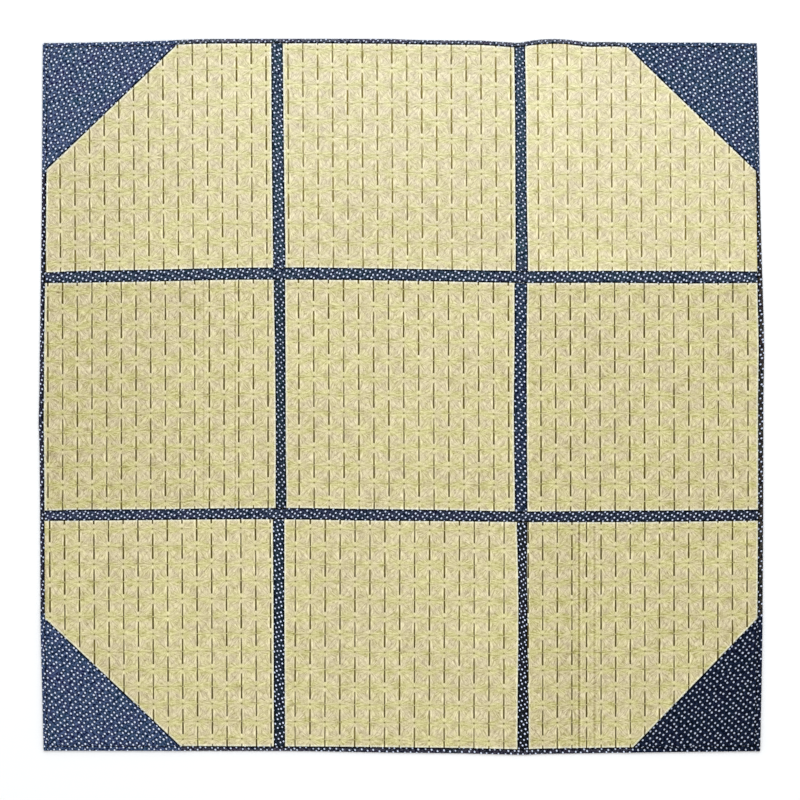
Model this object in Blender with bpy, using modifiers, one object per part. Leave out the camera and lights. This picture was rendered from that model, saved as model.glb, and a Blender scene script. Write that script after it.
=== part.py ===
"""Square rush floor mat of nine woven panels, joined and bound with dotted cotton tape.

Metres, +Z up. The mat lies on z = 0 with its middle over the origin, its right side towards +X
and its back edge towards +Y.
"""
from collections import namedtuple
import math

import bmesh
import bpy

MM = 0.001

# Thicknesses, and the gap between pieces that touch
RUSH_THICKNESS = 2.6 * MM
TAPE_THICKNESS = 1.0 * MM
CLEARANCE = 0.3 * MM

# The web of a joining strip stands between the two panels that the strip holds. Cut edges stop a
# little short of a web or of a binding's fold
WEB_THICKNESS = 3.0 * MM
WEB_SLACK = 0.8 * MM
FOLD_SLACK = 2.0 * MM

# Heights of the layers where a panel is held between two layers of tape
SEAT_HEIGHT = TAPE_THICKNESS + CLEARANCE
LIP_UNDERSIDE = SEAT_HEIGHT + RUSH_THICKNESS + CLEARANCE
LIP_TOP = LIP_UNDERSIDE + TAPE_THICKNESS
PATCH_LIFT = TAPE_THICKNESS + CLEARANCE

# A panel lies on the floor but for a band along its edges, where it climbs onto the tape
HELD_BAND = 18 * MM
CLIMB_WIDTH = 46 * MM
CLIMB_UNEVENNESS = 0.15
CLIMB_WAVE_LENGTH = 390 * MM
PANEL_SPAN = 600 * MM
PANEL_EDGE_STEPS = (0, HELD_BAND, 33 * MM, 48 * MM, 68 * MM)
PANEL_CELLS_ACROSS = 6
PANEL_CELLS_UP = 3

# A corner patch is laid a little further up the climb than the panel under it
PATCH_CELLS = 7
PATCH_SHIFT = 12 * MM
PATCH_TIP = 5 * MM

# Spacing of the cross sections along tape, and the ramp where a binding comes off a patch
STRIP_SPACING = 80 * MM
RAMP_START = 3 * MM
RAMP_LENGTH = 24 * MM

FIT_ROUNDS = 6

# Past every edge of the mat, where the tables hold their last value
MAT_REACH = 1000 * MM

# One row for each place where an edge changes direction, all in millimetres: the place along
# the side, how far the edge lies from the middle of the mat, and the visible width of binding
EdgeRow = namedtuple("EdgeRow", "along out width")

EDGES = {
    "left": (
        EdgeRow(-884, 894.5, 11.5),
        EdgeRow(-695, 899, 11.5),
        EdgeRow(-570, 902, 11),
        EdgeRow(-257, 903.5, 11),
        EdgeRow(-120, 905, 11.5),
        EdgeRow(-65, 907, 12.5),
        EdgeRow(18, 905, 11.5),
        EdgeRow(118, 904, 10.5),
        EdgeRow(368, 900.5, 11),
        EdgeRow(618, 898, 11.5),
        EdgeRow(884, 896.5, 12),
    ),
    "right": (
        EdgeRow(-884, 896.5, 13),
        EdgeRow(-757, 899.5, 13),
        EdgeRow(-570, 902.5, 13),
        EdgeRow(-257, 904.5, 13),
        EdgeRow(-8, 905, 13.5),
        EdgeRow(118, 907, 14),
        EdgeRow(243, 904, 13.5),
        EdgeRow(368, 900, 11),
        EdgeRow(493, 897, 9.5),
        EdgeRow(743, 892, 9.5),
        EdgeRow(884, 888, 10),
    ),
    "back": (
        EdgeRow(-880, 884, 11.5),
        EdgeRow(-753, 886, 11.5),
        EdgeRow(-603, 889.5, 11),
        EdgeRow(-486, 894.5, 11.5),
        EdgeRow(-191, 895, 11.5),
        EdgeRow(-28, 894.5, 12),
        EdgeRow(59, 891.5, 11),
        EdgeRow(199, 890.5, 11),
        EdgeRow(293, 885, 11.5),
        EdgeRow(319, 889.5, 11.5),
        EdgeRow(352, 893.5, 12),
        EdgeRow(384, 894.5, 12),
        EdgeRow(414, 893, 11.5),
        EdgeRow(439, 889.5, 11.5),
        EdgeRow(472, 886.5, 12),
        EdgeRow(529, 887, 11),
        EdgeRow(559, 885, 11),
        EdgeRow(747, 885.5, 11.5),
        EdgeRow(880, 883.5, 11.5),
    ),
    "front": (
        EdgeRow(-880, 884.5, 12),
        EdgeRow(-566, 885, 12),
        EdgeRow(-278, 885.5, 11.5),
        EdgeRow(-28, 889.5, 13.5),
        EdgeRow(159, 891.5, 13.5),
        EdgeRow(305, 895, 14),
        EdgeRow(344, 893, 13.5),
        EdgeRow(479, 891, 13.5),
        EdgeRow(684, 888, 13.5),
        EdgeRow(862, 886, 13.5),
    ),
}

# Joining strips, in millimetres: the place along the strip, its centre line and its width
StripRow = namedtuple("StripRow", "along centre width")

LONG_STRIPS = {
    "back": (
        StripRow(-873, 298, 27),
        StripRow(-823, 299.5, 29.5),
        StripRow(-623, 303, 29.5),
        StripRow(-373, 308, 30),
        StripRow(-228, 308, 31),
        StripRow(-128, 307, 30),
        StripRow(122, 303, 30),
        StripRow(322, 299.5, 30),
        StripRow(522, 300, 30),
        StripRow(722, 299, 31.5),
        StripRow(872, 299, 28.5),
    ),
    "front": (
        StripRow(-873, -297, 26),
        StripRow(-823, -296, 27.5),
        StripRow(-623, -294.5, 27),
        StripRow(-373, -292, 28),
        StripRow(-228, -292.5, 29),
        StripRow(-128, -294.5, 29),
        StripRow(122, -297, 28),
        StripRow(322, -300, 26.5),
        StripRow(522, -299, 28.5),
        StripRow(722, -298, 28),
        StripRow(872, -296, 28),
    ),
}

SHORT_STRIPS = {
    "back_left": (
        StripRow(862, -311, 29),
        StripRow(612, -309, 30.5),
        StripRow(362, -305.5, 31),
    ),
    "back_right": (
        StripRow(862, 295.5, 27.5),
        StripRow(712, 298, 28),
        StripRow(512, 299, 28.5),
        StripRow(362, 301, 31),
    ),
    "middle_left": (
        StripRow(267, -305, 28.5),
        StripRow(67, -302.5, 26),
        StripRow(-133, -301.5, 25),
        StripRow(-233, -301, 27),
    ),
    "middle_right": (
        StripRow(267, 298.5, 32),
        StripRow(117, 297.5, 30),
        StripRow(-33, 297, 32.5),
        StripRow(-233, 299, 31.5),
    ),
    "front_left": (
        StripRow(-333, -307, 29),
        StripRow(-583, -306, 27),
        StripRow(-833, -305, 28),
    ),
    "front_right": (
        StripRow(-333, 301.5, 26),
        StripRow(-433, 302.5, 22.5),
        StripRow(-533, 304, 22),
        StripRow(-733, 303.5, 25.5),
        StripRow(-833, 304, 28),
    ),
}

# Corner patches, in millimetres: where the slanted edge meets the side of the mat, and where it
# meets its back or front
PatchRow = namedtuple("PatchRow", "side_at end_at")

PATCHES = {
    "back_left": PatchRow(560, -552),
    "back_right": PatchRow(558, 556),
    "front_left": PatchRow(-546.5, -543),
    "front_right": PatchRow(-544, 569),
}

ROWS = ("back", "middle", "front")
COLUMNS = ("left", "centre", "right")
OUTWARD = {"left": -1, "right": 1, "back": 1, "front": -1}

# Colour, roughness and metallic value of each finish
FINISHES = {
    "rush": ((0.62, 0.56, 0.31), 0.55, 0.0),
    "strip_cotton": ((0.030, 0.040, 0.095), 0.85, 0.0),
    "edge_cotton": ((0.022, 0.026, 0.055), 0.85, 0.0),
    "corner_cotton": ((0.085, 0.105, 0.185), 0.85, 0.0),
}

# Four limits of a field, each a function of the place along it
Field = namedtuple("Field", "left right front back")


def read(table, column, along):
    """Column of a table, in metres, on a smooth curve that keeps its highs and lows at rows."""
    rows = sorted(table)
    places = [row.along * MM for row in rows]
    values = [getattr(row, column) * MM for row in rows]
    if along <= places[0]:
        return values[0]
    if along >= places[-1]:
        return values[-1]
    k = max(i for i in range(len(rows) - 1) if places[i] <= along)
    slopes = [(values[i + 1] - values[i]) / (places[i + 1] - places[i]) for i in range(len(rows) - 1)]

    def lean(i):
        if i == 0 or i == len(rows) - 1:
            return slopes[min(i, len(slopes) - 1)]
        before = slopes[i - 1]
        after = slopes[i]
        if before * after <= 0:
            return 0.0
        return 2 * before * after / (before + after)

    step = places[k + 1] - places[k]
    t = (along - places[k]) / step
    return (
        values[k] * (1 + 2 * t) * (1 - t) ** 2
        + values[k + 1] * (3 - 2 * t) * t ** 2
        + step * t * (1 - t) * (lean(k) * (1 - t) - lean(k + 1) * t)
    )


def smooth_step(t):
    t = min(max(t, 0.0), 1.0)
    return t * t * (3 - 2 * t)


def rim(side, inset=0.0):
    """Line of the mat's edge on one side, moved inwards by an inset."""
    return lambda along: OUTWARD[side] * (read(EDGES[side], "out", along) - inset)


def lip(side, gap=0.0):
    """Line of the inner edge of a binding, moved inwards by a gap."""
    edge = EDGES[side]
    return lambda along: OUTWARD[side] * (
        read(edge, "out", along) - read(edge, "width", along) - gap
    )


def beside(strip, direction, gap=0.0):
    """Line of a joining strip's edge, moved away from the strip by a gap."""
    return lambda along: read(strip, "centre", along) + direction * (
        read(strip, "width", along) / 2 + gap
    )


def at_web(strip, direction):
    """Line of a panel's edge inside a joining strip."""
    reach = WEB_THICKNESS / 2 + WEB_SLACK
    return lambda along: read(strip, "centre", along) + direction * reach


def short_strip(row, side):
    return SHORT_STRIPS[f"{row}_{side}"]


def panel_field(row, column):
    """Limits of a panel, held by the bindings and the joining strips round it."""
    inset = TAPE_THICKNESS + FOLD_SLACK
    left = rim("left", inset) if column == "left" else at_web(
        short_strip(row, "left" if column == "centre" else "right"), 1
    )
    right = rim("right", inset) if column == "right" else at_web(
        short_strip(row, "right" if column == "centre" else "left"), -1
    )
    back = rim("back", inset) if row == "back" else at_web(
        LONG_STRIPS["back" if row == "middle" else "front"], -1
    )
    front = rim("front", inset) if row == "front" else at_web(
        LONG_STRIPS["front" if row == "middle" else "back"], 1
    )
    return Field(left, right, front, back)


def spot(field, u, v):
    """Place at the shares u across and v up a field whose limits are curved."""
    x = 0.0
    y = 0.0
    for _ in range(FIT_ROUNDS):
        x = field.left(y) + (field.right(y) - field.left(y)) * u
        y = field.front(x) + (field.back(x) - field.front(x)) * v
    return x, y


def edge_distance(field, x, y):
    return min(x - field.left(y), field.right(y) - x, y - field.front(x), field.back(x) - y)


def underside(field, x, y, shift=0.0):
    """Height of a panel's underside, which climbs onto the tape at its edges."""
    wave = math.sin(2 * math.pi * (x - 0.6 * y) / CLIMB_WAVE_LENGTH)
    width = CLIMB_WIDTH * (1 + CLIMB_UNEVENNESS * wave)
    past_band = edge_distance(field, x, y) - HELD_BAND - shift
    return SEAT_HEIGHT * (1 - smooth_step(past_band / width))


def grid_shares(middle_cells):
    """Shares across a panel of its grid lines, close together where it climbs."""
    near = [step / PANEL_SPAN for step in PANEL_EDGE_STEPS]
    far = [1 - share for share in reversed(near)]
    gap = (far[0] - near[-1]) / middle_cells
    middle = [near[-1] + gap * k for k in range(1, middle_cells)]
    return near + middle + far


def add_object(name, mesh, finish):
    shape = bpy.data.meshes.new(name)
    mesh.to_mesh(shape)
    mesh.free()
    shape.materials.append(bpy.data.materials[finish])
    piece = bpy.data.objects.new(name, shape)
    bpy.data.collections["tatami_mat"].objects.link(piece)
    return piece


def sheet(name, across, up, place, thickness, finish):
    """Thickened sheet: a grid whose points are put in place by a function of their grid lines."""
    mesh = bmesh.new()
    bmesh.ops.create_grid(mesh, x_segments=across, y_segments=up, size=0.5)
    for vertex in mesh.verts:
        i = round((vertex.co.x + 0.5) * across)
        j = round((vertex.co.y + 0.5) * up)
        vertex.co = place(i, j)
    piece = add_object(name, mesh, finish)
    solid = piece.modifiers.new("Thickness", "SOLIDIFY")
    solid.thickness = thickness
    solid.offset = 1.0
    return piece


def loft(name, sections, finish):
    """Closed solid through cross sections of the same number of points."""
    mesh = bmesh.new()
    rings = [[mesh.verts.new(point) for point in section] for section in sections]
    for near, far in zip(rings, rings[1:]):
        for k in range(len(near)):
            mesh.faces.new((near[k - 1], near[k], far[k], far[k - 1]))
    mesh.faces.new(rings[0])
    mesh.faces.new(rings[-1])
    bmesh.ops.recalc_face_normals(mesh, faces=mesh.faces)
    return add_object(name, mesh, finish)


def places_along(table, low, high, extra=()):
    """Places of the cross sections: table rows, ramps and no longer a step than the spacing."""
    marks = sorted({row.along * MM for row in table} | set(extra))
    marks = [low] + [mark for mark in marks if low + RAMP_START < mark < high - RAMP_START] + [high]
    places = [low]
    for near, far in zip(marks, marks[1:]):
        count = max(1, round((far - near) / STRIP_SPACING))
        places += [near + (far - near) * k / count for k in range(1, count + 1)]
    return places


def add_panel(row, column):
    field = panel_field(row, column)
    across = grid_shares(PANEL_CELLS_ACROSS)
    up = grid_shares(PANEL_CELLS_UP)

    def place(i, j):
        x, y = spot(field, across[i], up[j])
        return x, y, underside(field, x, y)

    name = f"panel_{row}_{column}"
    sheet(name, len(across) - 1, len(up) - 1, place, RUSH_THICKNESS, "rush")


def strip_profile(half_width):
    """Cross section of a joining strip: two tapes on a web, as (sideways, height)."""
    web = WEB_THICKNESS / 2
    right_half = [
        (0.0, 0.0),
        (half_width, 0.0),
        (half_width, TAPE_THICKNESS),
        (web, TAPE_THICKNESS),
        (web, LIP_UNDERSIDE),
        (half_width, LIP_UNDERSIDE),
        (half_width, LIP_TOP),
        (0.0, LIP_TOP),
    ]
    left_half = [(-sideways, height) for sideways, height in reversed(right_half[1:-1])]
    return right_half + left_half


def add_strip(name, table, start, end, runs_along_x):
    """Joining strip whose two ends follow the pieces that stop it."""
    centre = table[0].centre * MM
    places = places_along(table, start(centre), end(centre))
    sections = []
    for k, place in enumerate(places):
        section = []
        for sideways, height in strip_profile(read(table, "width", place) / 2):
            across = read(table, "centre", place) + sideways
            along = start(across) if k == 0 else end(across) if k == len(places) - 1 else place
            across = read(table, "centre", along) + sideways
            section.append((along, across, height) if runs_along_x else (across, along, height))
        sections.append(section)
    loft(name, sections, "strip_cotton")


def add_joining_strips():
    for name, table in LONG_STRIPS.items():
        start = lip("left", CLEARANCE)
        end = lip("right", CLEARANCE)
        add_strip(f"long_strip_{name}", table, start, end, True)
    for row in ROWS:
        if row == "front":
            start = lip("front", CLEARANCE)
        else:
            start = beside(LONG_STRIPS["back" if row == "back" else "front"], 1, CLEARANCE)
        if row == "back":
            end = lip("back", CLEARANCE)
        else:
            end = beside(LONG_STRIPS["back" if row == "middle" else "front"], -1, CLEARANCE)
        for side in ("left", "right"):
            add_strip(f"short_strip_{row}_{side}", short_strip(row, side), start, end, False)


def binding_profile(width, lift):
    """Cross section of a folded edge binding, as (distance inwards, height)."""
    top = LIP_TOP + lift
    fold = TAPE_THICKNESS
    return [
        (width, 0.0),
        (fold, 0.0),
        (0.0, fold),
        (0.0, top - fold),
        (fold, top),
        (width, top),
        (width, top - TAPE_THICKNESS),
        (fold, top - TAPE_THICKNESS),
        (fold, TAPE_THICKNESS),
        (width, TAPE_THICKNESS),
    ]


def patch_reaches(side):
    """How far the corner patches reach along a side, from its low and high ends."""
    if side in ("left", "right"):
        low = PATCHES[f"front_{side}"].side_at
        high = PATCHES[f"back_{side}"].side_at
    else:
        low = PATCHES[f"{side}_left"].end_at
        high = PATCHES[f"{side}_right"].end_at
    return low * MM, high * MM


def strip_edges(side):
    """Places along a side of the edges of the joining strips that end there."""
    if side in ("left", "right"):
        strips = LONG_STRIPS.values()
    else:
        strips = [short_strip(side, "left"), short_strip(side, "right")]
    end = OUTWARD[side] * MAT_REACH
    return [beside(strip, direction)(end) for strip in strips for direction in (-1, 1)]


def add_binding(side):
    """Edge binding, folded round the rim and lifted where it crosses a corner patch."""
    table = EDGES[side]
    upright = side in ("left", "right")
    if upright:
        start = rim("front")
        end = rim("back")
    else:
        start = lip("left", CLEARANCE)
        end = lip("right", CLEARANCE)
    low_patch, high_patch = patch_reaches(side)
    low_ramp = low_patch + RAMP_START
    high_ramp = high_patch - RAMP_START
    ramps = [low_ramp + RAMP_LENGTH * share for share in (0, 0.35, 0.65, 1)]
    ramps += [high_ramp - RAMP_LENGTH * share for share in (0, 0.35, 0.65, 1)]
    outer = rim(side)
    low_end = start(outer(-MAT_REACH))
    high_end = end(outer(MAT_REACH))
    places = places_along(table, low_end, high_end, ramps + strip_edges(side))
    sections = []
    for k, place in enumerate(places):
        low = smooth_step((place - low_ramp) / RAMP_LENGTH)
        high = smooth_step((high_ramp - place) / RAMP_LENGTH)
        lift = PATCH_LIFT * (1 - min(low, high))
        section = []
        for inwards, height in binding_profile(read(table, "width", place), lift):
            across = outer(place) - OUTWARD[side] * inwards
            along = start(across) if k == 0 else end(across) if k == len(places) - 1 else place
            across = outer(along) - OUTWARD[side] * inwards
            section.append((across, along, height) if upright else (along, across, height))
        sections.append(section)
    loft(f"edge_binding_{side}", sections, "edge_cotton")


def add_patch(end, side):
    """Triangular corner patch on its panel, its two straight sides inside the bindings."""
    row = PATCHES[f"{end}_{side}"]
    inset = TAPE_THICKNESS + FOLD_SLACK
    panel = panel_field(end, side)
    side_line = rim(side, inset)
    end_line = rim(end, inset)
    side_y = row.side_at * MM
    end_x = row.end_at * MM
    side_x = side_line(side_y)
    end_y = end_line(end_x)
    tip_x = end_x + OUTWARD[side] * PATCH_TIP

    def slant(x):
        return side_y + (end_y - side_y) * (x - side_x) / (end_x - side_x)

    def place(i, j):
        u = i / PATCH_CELLS
        v = j / PATCH_CELLS
        if OUTWARD[side] > 0:
            u = 1 - u
        if OUTWARD[end] < 0:
            v = 1 - v
        x = side_x
        y = side_y
        for _ in range(FIT_ROUNDS):
            x = side_line(y) + (tip_x - side_line(y)) * u
            y = slant(x) + (end_line(x) - slant(x)) * v
        height = underside(panel, x, y, PATCH_SHIFT) + RUSH_THICKNESS + CLEARANCE
        return x, y, height

    name = f"corner_patch_{end}_{side}"
    sheet(name, PATCH_CELLS, PATCH_CELLS, place, TAPE_THICKNESS, "corner_cotton")


def add_finishes():
    for name, (colour, roughness, metallic) in FINISHES.items():
        material = bpy.data.materials.new(name)
        material.use_nodes = True
        shader = material.node_tree.nodes["Principled BSDF"]
        shader.inputs["Base Color"].default_value = (*colour, 1.0)
        shader.inputs["Roughness"].default_value = roughness
        shader.inputs["Metallic"].default_value = metallic


def build_mat():
    for old in list(bpy.data.objects):
        bpy.data.objects.remove(old)
    collection = bpy.data.collections.new("tatami_mat")
    bpy.context.scene.collection.children.link(collection)
    add_finishes()
    for row in ROWS:
        for column in COLUMNS:
            add_panel(row, column)
    add_joining_strips()
    for side in EDGES:
        add_binding(side)
    for end in ("back", "front"):
        for side in ("left", "right"):
            add_patch(end, side)


build_mat()
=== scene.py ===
# Dressed model of a square rush floor mat: nine woven panels, joined and bound with dotted cotton
import math
from collections import namedtuple

import bpy
import numpy as np
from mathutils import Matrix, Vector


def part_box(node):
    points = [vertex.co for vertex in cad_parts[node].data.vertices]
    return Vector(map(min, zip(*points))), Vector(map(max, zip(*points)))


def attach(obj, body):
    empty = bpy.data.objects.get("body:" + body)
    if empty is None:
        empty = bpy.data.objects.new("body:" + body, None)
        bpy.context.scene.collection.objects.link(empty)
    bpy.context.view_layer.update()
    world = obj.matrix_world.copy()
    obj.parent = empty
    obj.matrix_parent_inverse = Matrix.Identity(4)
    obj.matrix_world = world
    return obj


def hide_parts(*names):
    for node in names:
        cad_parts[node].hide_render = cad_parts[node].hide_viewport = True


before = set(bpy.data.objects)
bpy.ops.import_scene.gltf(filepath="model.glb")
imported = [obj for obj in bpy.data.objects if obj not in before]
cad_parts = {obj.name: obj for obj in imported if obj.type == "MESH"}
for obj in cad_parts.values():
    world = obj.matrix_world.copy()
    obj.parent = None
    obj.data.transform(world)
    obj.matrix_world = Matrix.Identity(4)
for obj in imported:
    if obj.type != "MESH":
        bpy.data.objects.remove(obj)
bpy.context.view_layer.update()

mm = 0.001
outward = {"left": -1, "right": 1, "back": 1, "front": -1}


# Camera, floor and light

studio = {
    "cameraAt": (-0.0036, -0.0080, 5.5596),  # straight above, a little off the mat's middle
    "lens": 100.0,
    "sensor": 36.0,
    "farthest": 60.0,
    "floorSize": 30.0,
    "floorColour": (0.95, 0.95, 0.95),
    "floorRoughness": 0.9,
    "floorSpecular": 0.1,
    "skyColour": (1.0, 1.0, 1.0),
    "skyStrength": 0.87,
    "windowAt": (0.32, 1.9, 3.6),
    "windowTilt": -28.0,  # degrees about X
    "windowSize": (3.2, 1.4),
    "windowPower": 66.0,
    "windowColour": (0.88, 0.94, 1.0),
}


def addStudio():
    scene = bpy.context.scene
    scene.view_settings.view_transform = "Standard"
    bpy.ops.object.select_all(action="DESELECT")
    bpy.ops.object.camera_add(location=studio["cameraAt"], rotation=(0, 0, 0))
    camera = bpy.context.object
    camera.data.lens = studio["lens"]
    camera.data.sensor_width = studio["sensor"]
    camera.data.clip_end = studio["farthest"]
    scene.camera = camera

    bpy.ops.object.select_all(action="DESELECT")
    bpy.ops.mesh.primitive_plane_add(size=studio["floorSize"], location=(0, 0, 0))
    floor = bpy.context.object
    floor.name = "studioFloor"
    look = Shader("floor paper")
    look.set("Base Color", (*studio["floorColour"], 1.0))
    look.set("Roughness", studio["floorRoughness"])
    look.set("Specular IOR Level", studio["floorSpecular"])
    floor.data.materials.append(look.material)

    world = bpy.data.worlds.new("studioSky")
    world.use_nodes = True
    sky = world.node_tree.nodes["Background"]
    sky.inputs["Color"].default_value = (*studio["skyColour"], 1.0)
    sky.inputs["Strength"].default_value = studio["skyStrength"]
    scene.world = world

    bpy.ops.object.select_all(action="DESELECT")
    bpy.ops.object.light_add(
        type="AREA",
        location=studio["windowAt"],
        rotation=(math.radians(studio["windowTilt"]), 0, 0),
    )
    window = bpy.context.object
    window.name = "studioWindow"
    window.data.shape = "RECTANGLE"
    window.data.size, window.data.size_y = studio["windowSize"]
    window.data.energy = studio["windowPower"]
    window.data.color = studio["windowColour"]


# Shader arithmetic: a wire is a socket's value, and Python's operators on it add Math nodes


class Wire:
    def __init__(self, look, socket):
        self.look = look
        self.socket = socket

    def math(self, operation, *values):
        inputs = dict(enumerate((self, *values)))
        return self.look.node("ShaderNodeMath", {"operation": operation}, inputs)

    def reflected(self, operation, value):
        return self.look.node("ShaderNodeMath", {"operation": operation}, {0: value, 1: self})

    def __add__(self, other):
        return self.math("ADD", other)

    __radd__ = __add__

    def __sub__(self, other):
        return self.math("SUBTRACT", other)

    def __rsub__(self, other):
        return self.reflected("SUBTRACT", other)

    def __mul__(self, other):
        return self.math("MULTIPLY", other)

    __rmul__ = __mul__

    def __truediv__(self, other):
        return self.math("DIVIDE", other)

    def __abs__(self):
        return self.math("ABSOLUTE")

    def rounded(self):
        return self.math("ROUND")

    def fraction(self):
        return self.math("FRACT")

    def sine(self):
        return self.math("SINE")

    def least(self, other):
        return self.math("MINIMUM", other)

    def most(self, other):
        return self.math("MAXIMUM", other)

    def length(self, other):  # of the arrow with these two parts
        return (self * self + other * other).math("SQRT")

    def rise(self, low, high):  # smoothly from 0 at low to 1 at high, or falling where high is less
        inputs = {"Value": self, "From Min": low, "From Max": high}
        return self.look.node("ShaderNodeMapRange", {"interpolation_type": "SMOOTHSTEP"}, inputs)


class Shader:
    def __init__(self, name):
        self.material = bpy.data.materials.new(name)
        self.material.use_nodes = True
        self.tree = self.material.node_tree
        self.surface = self.tree.nodes["Principled BSDF"]

    def fill(self, socket, value):
        if isinstance(value, Wire):
            self.tree.links.new(value.socket, socket)
        else:
            socket.default_value = value

    def set(self, name, value):
        self.fill(self.surface.inputs[name], value)

    def node(self, kind, settings, inputs, output=0):
        made = self.tree.nodes.new(kind)
        for name, value in settings.items():
            setattr(made, name, value)
        for key, value in inputs.items():
            self.fill(made.inputs[key], value)
        return Wire(self, made.outputs[output])

    def attribute(self, name, output="Fac"):
        return self.node("ShaderNodeAttribute", {"attribute_name": name}, {}, output)

    def split(self, vector):
        parts = self.node("ShaderNodeSeparateXYZ", {}, {0: vector})
        return parts, Wire(self, parts.socket.node.outputs[1])

    def join(self, x, y, z=0.0):
        return self.node("ShaderNodeCombineXYZ", {}, {0: x, 1: y, 2: z})

    def noise(self, vector, scale, detail=2.0, roughness=0.5):
        inputs = {"Vector": vector, "Scale": scale, "Detail": detail, "Roughness": roughness}
        return self.node("ShaderNodeTexNoise", {}, inputs, "Fac")

    def whiteNoise(self, vector):  # one value for each whole number of x and of y
        settings = {"noise_dimensions": "2D"}
        return self.node("ShaderNodeTexWhiteNoise", settings, {"Vector": vector}, "Value")

    def blend(self, factor, first, second):
        settings = {"data_type": "RGBA"}
        return self.node("ShaderNodeMix", settings, {0: factor, 6: first, 7: second}, 2)

    def scaled(self, colour, factor):
        settings = {"operation": "SCALE"}
        return self.node("ShaderNodeVectorMath", settings, {"Vector": colour, "Scale": factor})

    def added(self, first, second):
        return self.node("ShaderNodeVectorMath", {"operation": "ADD"}, {0: first, 1: second})

    def tinted(self, first, second):
        return self.node("ShaderNodeVectorMath", {"operation": "MULTIPLY"}, {0: first, 1: second})

    def bump(self, height, strength, distance):
        inputs = {"Height": height, "Strength": strength, "Distance": distance}
        self.set("Normal", self.node("ShaderNodeBump", {}, inputs))


# Grids, and the lines and heights that they take from the frame


def startGrid(name, across, up):
    bpy.ops.object.select_all(action="DESELECT")
    bpy.ops.mesh.primitive_grid_add(x_subdivisions=across, y_subdivisions=up, size=1.0)
    piece = bpy.context.object
    piece.name = name
    piece.data.name = name
    return piece


def gridPlaces(piece, across, up):  # column and row of each of the grid's points
    points = np.zeros(len(piece.data.vertices) * 3)
    piece.data.vertices.foreach_get("co", points)
    points = points.reshape(-1, 3)
    columns = np.rint((points[:, 0] + 0.5) * across).astype(int)
    rows = np.rint((points[:, 1] + 0.5) * up).astype(int)
    return columns, rows


def readPoints(piece):
    points = np.zeros(len(piece.data.vertices) * 3)
    piece.data.vertices.foreach_get("co", points)
    return points.reshape(-1, 3)


def writePoints(piece, points):
    piece.data.vertices.foreach_set("co", points.ravel())
    piece.data.update()


def writeUv(piece, name, u, v):  # u and v have a value for each point of the mesh
    mesh = piece.data
    while mesh.uv_layers:
        mesh.uv_layers.remove(mesh.uv_layers[0])
    layer = mesh.uv_layers.new(name=name)
    corners = np.zeros(len(mesh.loops), dtype=np.int32)
    mesh.loops.foreach_get("vertex_index", corners)
    layer.data.foreach_set("uv", np.stack([u[corners], v[corners]], axis=1).ravel())


def writeValue(piece, name, values):
    attribute = piece.data.attributes.new(name, "FLOAT", "POINT")
    attribute.data.foreach_set("value", values.astype(np.float32))


def applyModifier(piece, kind, **settings):
    modifier = piece.modifiers.new(kind.title(), kind)
    for name, value in settings.items():
        setattr(modifier, name, value)
    bpy.context.view_layer.objects.active = piece
    bpy.ops.object.modifier_apply(modifier=modifier.name)


def frameLine(node, axis, sign, low=-1.0, high=1.0, value=None):
    # The line of a node's wall that faces one way, as a function of the place along it. Low and
    # high bound the height of the wall's middle, and value picks another coordinate than axis
    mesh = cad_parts[node].data
    found = {}
    for face in mesh.polygons:
        if sign * face.normal[axis] > 0.7 and low < face.center.z < high:
            for index in face.vertices:
                point = mesh.vertices[index].co
                kept = point[axis if value is None else value]
                place = round(point[1 - axis], 4)
                found[place] = max(found.get(place, -9.0), kept) if value == 2 else kept
    places = sorted(found)
    values = [found[place] for place in places]
    return lambda at: np.interp(at, places, values)


def smoothStep(t):
    t = np.clip(t, 0.0, 1.0)
    return t * t * (3 - 2 * t)


def bump(distance, width):  # 1 at no distance, falling smoothly to 0 at the width
    return 1 - smoothStep(np.abs(distance) / width)


# Layers, in millimetres

layers = {
    "rush": 2.6,
    "tape": 1.0,
    "seat": 1.3,
    "lipUnderside": 4.2,
    "lipTop": 5.2,
    "heldBand": 18.0,
    "climbWidth": 46.0,
    "climbUnevenness": 0.15,
    "climbWave": 390.0,
    "patchShift": 12.0,
    "patchGap": 0.3,
}

Sides = namedtuple("Sides", "left right front back")


def panelSides(node):
    low, high = 0.0, layers["lipUnderside"] * mm
    return Sides(
        frameLine(node, 0, -1, low, high),
        frameLine(node, 0, 1, low, high),
        frameLine(node, 1, -1, low, high),
        frameLine(node, 1, 1, low, high),
    )


def rushUnderside(sides, x, y, shift=0.0):  # height of the rush's underside, which climbs at its edges
    gap = np.minimum(x - sides.left(y), sides.right(y) - x)
    gap = np.minimum(gap, np.minimum(y - sides.front(x), sides.back(x) - y))
    wave = np.sin(2 * math.pi * (x - 0.6 * y) / (layers["climbWave"] * mm))
    width = layers["climbWidth"] * mm * (1 + layers["climbUnevenness"] * wave)
    return layers["seat"] * mm * (1 - smoothStep((gap - (layers["heldBand"] + shift) * mm) / width))


# Rush panels. The weave has columns of dashes, which break half way, with a star between the dashes
# of a column. Sizes are in millimetres. Each panel was cut from the length at its own place, so its
# nearest column and star lie at their own distances from its middle, and it is sewn in a little askew.
# Yarn is how pale its dashes are, which in the back row also stands for the sheen of the light there as
# painted highlight, tone how much lighter its rush, and rise how far that goes up from its left edge to
# its right, a painted shade of the panel cupping a little

Weave = namedtuple("Weave", "columnAt starAt pitch period lean slope yarn tone rise", defaults=[0.0])

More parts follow.
